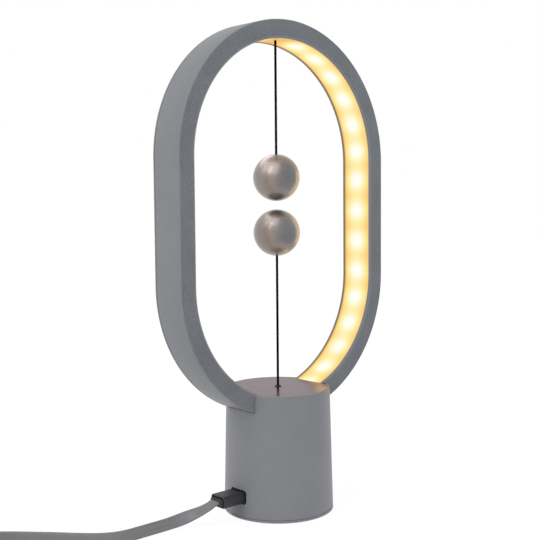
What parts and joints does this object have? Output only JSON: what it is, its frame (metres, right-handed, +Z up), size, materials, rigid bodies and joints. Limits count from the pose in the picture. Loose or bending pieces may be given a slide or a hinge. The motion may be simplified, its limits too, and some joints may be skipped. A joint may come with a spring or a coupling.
{
  "type": "magnetic balance lamp",
  "caption": "Table lamp with an upright oval light ring on a tapered round base, switched by two magnetic balls on strings",
  "frame": {"origin": "centre of the base's underside, at the foot that stands on the table", "axes": "Z up; the ring stands in the XZ plane and Y runs through it from front to back; the front is -Y and the power port faces -X"},
  "size_m": [0.2974, 0.1016, 0.2505],
  "materials": {
    "body_grey": "satin grey metallic paint with a fine grain",
    "brushed_plate": "brushed, warm grey",
    "champagne": "satin champagne-silver anodising",
    "opal_diffuser": "opal, lit warm white from behind",
    "black_string": "fine twisted cord",
    "plug_plastic": "dark grey, fine grain",
    "cable_grey": "smooth grey flat cable",
    "black_rubber": "matt",
    "black_plastic": "matt",
    "inner_plastic": "matt",
    "red_plastic": "smooth",
    "steel": "zinc-plated",
    "weight_steel": "turned",
    "magnet_nickel": "nickel-plated",
    "brass": "plain",
    "board_green": "solder resist",
    "strip_white": "white film",
    "warm_light": "phosphor yellow in a white frame",
    "red_wire": "smooth",
    "black_wire": "smooth",
    "tie_fabric": "hook-and-loop strap"
  },
  "bodies": {
    "base": {"foot_pad": "black_rubber", "bottom_cover": "body_grey", "cover_screws": "steel", "counterweight": "weight_steel", "base_shell": "body_grey", "base_top_plate": "brushed_plate", "string_guide": "black_plastic", "ring_clamp": "inner_plastic", "clamp_screws": "steel", "switch_bracket": "steel", "switch_body": "black_plastic", "switch_terminals": "brass", "switch_screws": "steel", "lever_pivot": "steel", "lever_spring": "steel", "power_board": "board_green", "board_parts": "black_plastic", "board_screws": "steel", "power_socket": "steel", "socket_tongue": "black_plastic", "switch_wires": "red_wire", "strip_wires": "black_wire", "ring_body": "body_grey", "ring_back_cover": "body_grey", "diffuser": "opal_diffuser", "light_strip": "strip_white", "lights": "warm_light", "strip_resistors": "black_plastic", "string_anchor": "steel", "anchor_cord": "black_string"},
    "upper_turn": {"upper_bend": "black_string"},
    "upper_ball": {"upper_string": "black_string", "upper_ball_cap": "champagne", "upper_ball_cup": "champagne", "upper_magnet": "magnet_nickel"},
    "lower_turn": {"lower_bend": "black_string"},
    "lower_stem": {"lower_string": "black_string"},
    "lower_ball": {"lower_knot": "black_string", "lower_ball_cap": "champagne", "lower_ball_cup": "champagne", "lower_magnet": "magnet_nickel"},
    "pull": {"pull_string": "black_string"},
    "lever": {"switch_lever": "brass"},
    "plunger": {"switch_plunger": "red_plastic"},
    "power_lead": {"plug_grip": "plug_plastic", "plug_shell": "steel", "power_cable": "cable_grey", "cable_coil": "cable_grey", "cable_tie": "tie_fabric", "big_plug_grip": "plug_plastic", "big_plug_shell": "steel", "big_plug_tongue": "strip_white"}
  },
  "joints": [
    {"name": "upper_swing_x", "type": "hinge", "parent": "base", "child": "upper_turn", "pos_m": [0, 0, 0.24065], "axis": [1, 0, 0], "range_deg": [-35, 35]},
    {"name": "upper_swing_y", "type": "hinge", "parent": "upper_turn", "child": "upper_ball", "pos_m": [0, 0, 0.24065], "axis": [0, 1, 0], "range_deg": [-35, 35]},
    {"name": "lower_sway_x", "type": "hinge", "parent": "base", "child": "lower_turn", "pos_m": [0, 0, 0.06485], "axis": [1, 0, 0], "range_deg": [-8, 8], "stiffness_Nm_per_rad": 0.03},
    {"name": "lower_sway_y", "type": "hinge", "parent": "lower_turn", "child": "lower_stem", "pos_m": [0, 0, 0.06485], "axis": [0, 1, 0], "range_deg": [-8, 8], "stiffness_Nm_per_rad": 0.03},
    {"name": "lower_ball_drop", "type": "slide", "parent": "lower_stem", "child": "lower_ball", "axis": [0, 0, -1], "range_m": [0, 0.0668], "deforming": ["lower_string"]},
    {"name": "string_slack", "type": "slide", "parent": "base", "child": "pull", "axis": [0, 0, -1], "range_m": [0, 0.0017]},
    {"name": "lever_tilt", "type": "hinge", "parent": "base", "child": "lever", "pos_m": [-0.019, 0, 0.0297], "axis": [0, 1, 0], "range_deg": [0, 5.2]},
    {"name": "plunger_travel", "type": "slide", "parent": "base", "child": "plunger", "axis": [0, 0, -1], "range_m": [0, 0.00075]},
    {"name": "plug_pull", "type": "slide", "parent": "base", "child": "power_lead", "axis": [-1, 0, 0], "range_m": [0, 0.012]}
  ],
  "couplings": [
    {"joint": "string_slack", "follows": "lower_ball_drop", "ratio": 0.02395},
    {"joint": "lever_tilt", "follows": "lower_ball_drop", "rad_per_m": 1.262},
    {"joint": "plunger_travel", "follows": "lower_ball_drop", "ratio": 0.01047}
  ]
}
